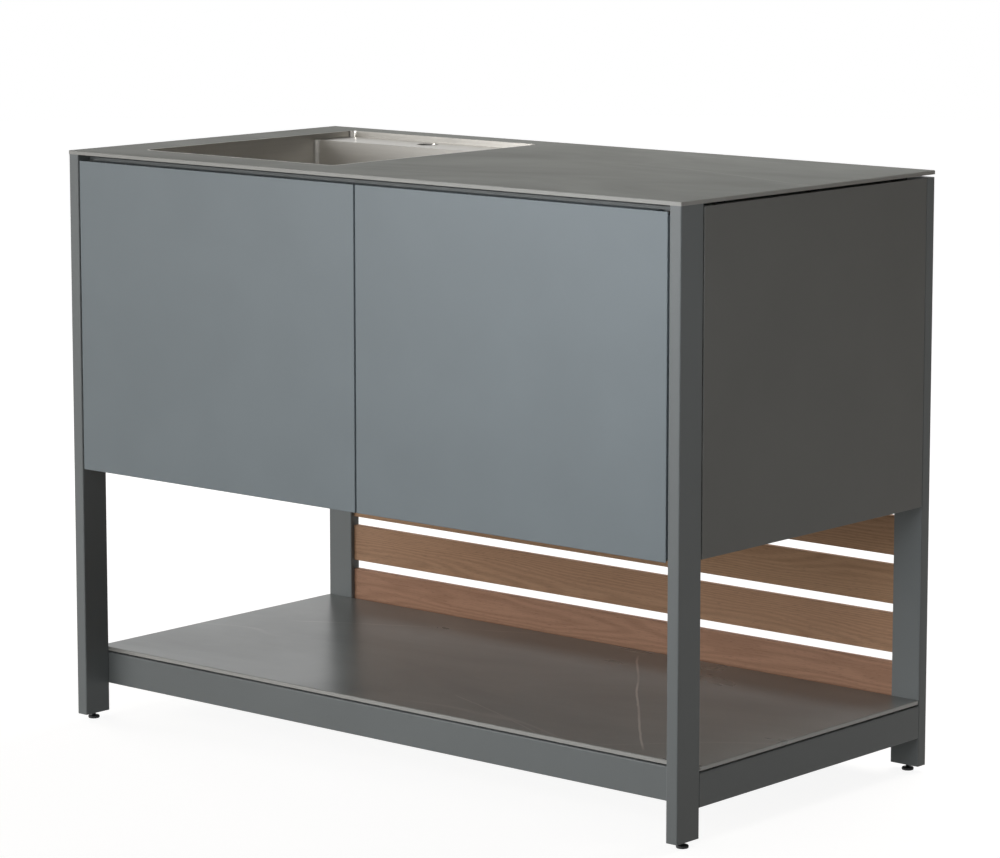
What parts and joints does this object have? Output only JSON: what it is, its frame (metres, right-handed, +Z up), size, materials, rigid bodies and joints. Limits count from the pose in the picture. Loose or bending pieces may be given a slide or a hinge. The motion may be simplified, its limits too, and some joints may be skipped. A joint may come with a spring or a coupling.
{
  "type": "kitchen sink unit",
  "caption": "Free-standing kitchen sink unit: slim steel frame, thin stone worktop with an inset steel sink, two-door cabinet, open stone shelf and slatted back.",
  "frame": {"origin": "on the floor under the middle of the unit", "axes": "+X to the right seen from the front, +Y to the back, +Z up; the doors face -Y"},
  "size_m": [1.2, 0.6, 0.9],
  "materials": {
    "frame_paint": "satin grey powder coat on steel tube",
    "door_paint": "satin blue-grey powder coat on folded steel sheet",
    "panel_paint": "satin dark grey powder coat on aluminium plate",
    "liner_paint": "satin grey powder coat on aluminium sheet",
    "stone": "honed warm grey sintered stone with faint veins, lighter cut edges",
    "slat_wood": "oiled mid-brown wood with fine horizontal grain",
    "cabinet_board": "dark grey melamine-faced board",
    "brushed_steel": "brushed stainless steel",
    "zinc_steel": "zinc-plated steel",
    "black_rubber": "matt black rubber",
    "black_plastic": "matt black moulded plastic"
  },
  "bodies": {
    "frame": {"base_rail_back": "frame_paint", "base_rail_front": "frame_paint", "base_rail_left": "frame_paint", "base_rail_right": "frame_paint", "cabinet_back": "cabinet_board", "cabinet_floor": "cabinet_board", "cabinet_rail_back": "frame_paint", "cabinet_rail_front": "frame_paint", "cabinet_rail_left": "frame_paint", "cabinet_rail_right": "frame_paint", "cross_rails": "frame_paint", "divider": "cabinet_board", "door_buffers": "black_rubber", "door_pivots": "zinc_steel", "latch_housings": "black_plastic", "leg_back_left": "frame_paint", "leg_back_right": "frame_paint", "leg_end_plugs": "black_plastic", "leg_front_left": "frame_paint", "leg_front_right": "frame_paint", "panel_screws": "zinc_steel", "shelf": "stone", "side_panel_left": "panel_paint", "side_panel_right": "panel_paint", "sink_bowl": "brushed_steel", "sink_clips": "zinc_steel", "slat_01": "slat_wood", "slat_02": "slat_wood", "slat_03": "slat_wood", "slat_04": "slat_wood", "slat_05": "slat_wood", "slat_06": "slat_wood", "slat_07": "slat_wood", "slat_08": "slat_wood", "slat_09": "slat_wood", "slat_10": "slat_wood", "slat_dowels": "zinc_steel", "support_pads": "black_rubber", "tap_ledge": "brushed_steel", "top_rail_back": "frame_paint", "top_rail_front": "frame_paint", "top_rail_left": "frame_paint", "top_rail_right": "frame_paint", "waste_body": "brushed_steel", "waste_gasket": "black_rubber", "waste_nut": "black_plastic", "worktop": "stone"},
    "left_door": {"left_door_skin": "door_paint", "left_door_liner": "liner_paint", "left_door_bushes": "black_plastic"},
    "right_door": {"right_door_skin": "door_paint", "right_door_liner": "liner_paint", "right_door_bushes": "black_plastic"},
    "left_latch": {"left_latch_plunger": "black_plastic"},
    "right_latch": {"right_latch_plunger": "black_plastic"},
    "strainer": {"strainer_basket": "brushed_steel"},
    "foot_front_left": {"foot_front_left": "black_plastic"},
    "foot_front_right": {"foot_front_right": "black_plastic"},
    "foot_back_left": {"foot_back_left": "black_plastic"},
    "foot_back_right": {"foot_back_right": "black_plastic"}
  },
  "joints": [
    {"name": "left_door_hinge", "type": "hinge", "parent": "frame", "child": "left_door", "pos_m": [-0.567, -0.29301, 0.644], "axis": [0, 0, -1], "range_deg": [0, 95]},
    {"name": "right_door_hinge", "type": "hinge", "parent": "frame", "child": "right_door", "pos_m": [0.567, -0.29301, 0.644], "axis": [0, 0, 1], "range_deg": [0, 95]},
    {"name": "left_latch_press", "type": "slide", "parent": "frame", "child": "left_latch", "axis": [0, 1, 0], "range_m": [0, 0.003], "stiffness_N_per_m": 400},
    {"name": "right_latch_press", "type": "slide", "parent": "frame", "child": "right_latch", "axis": [0, 1, 0], "range_m": [0, 0.003], "stiffness_N_per_m": 400},
    {"name": "strainer_lift", "type": "slide", "parent": "frame", "child": "strainer", "axis": [0, 0, 1], "range_m": [0, 0.06]},
    {"name": "foot_front_left_height", "type": "slide", "parent": "frame", "child": "foot_front_left", "axis": [0, 0, -1], "range_m": [-0.0045, 0.01]},
    {"name": "foot_front_right_height", "type": "slide", "parent": "frame", "child": "foot_front_right", "axis": [0, 0, -1], "range_m": [-0.0045, 0.01]},
    {"name": "foot_back_left_height", "type": "slide", "parent": "frame", "child": "foot_back_left", "axis": [0, 0, -1], "range_m": [-0.0045, 0.01]},
    {"name": "foot_back_right_height", "type": "slide", "parent": "frame", "child": "foot_back_right", "axis": [0, 0, -1], "range_m": [-0.0045, 0.01]}
  ]
}
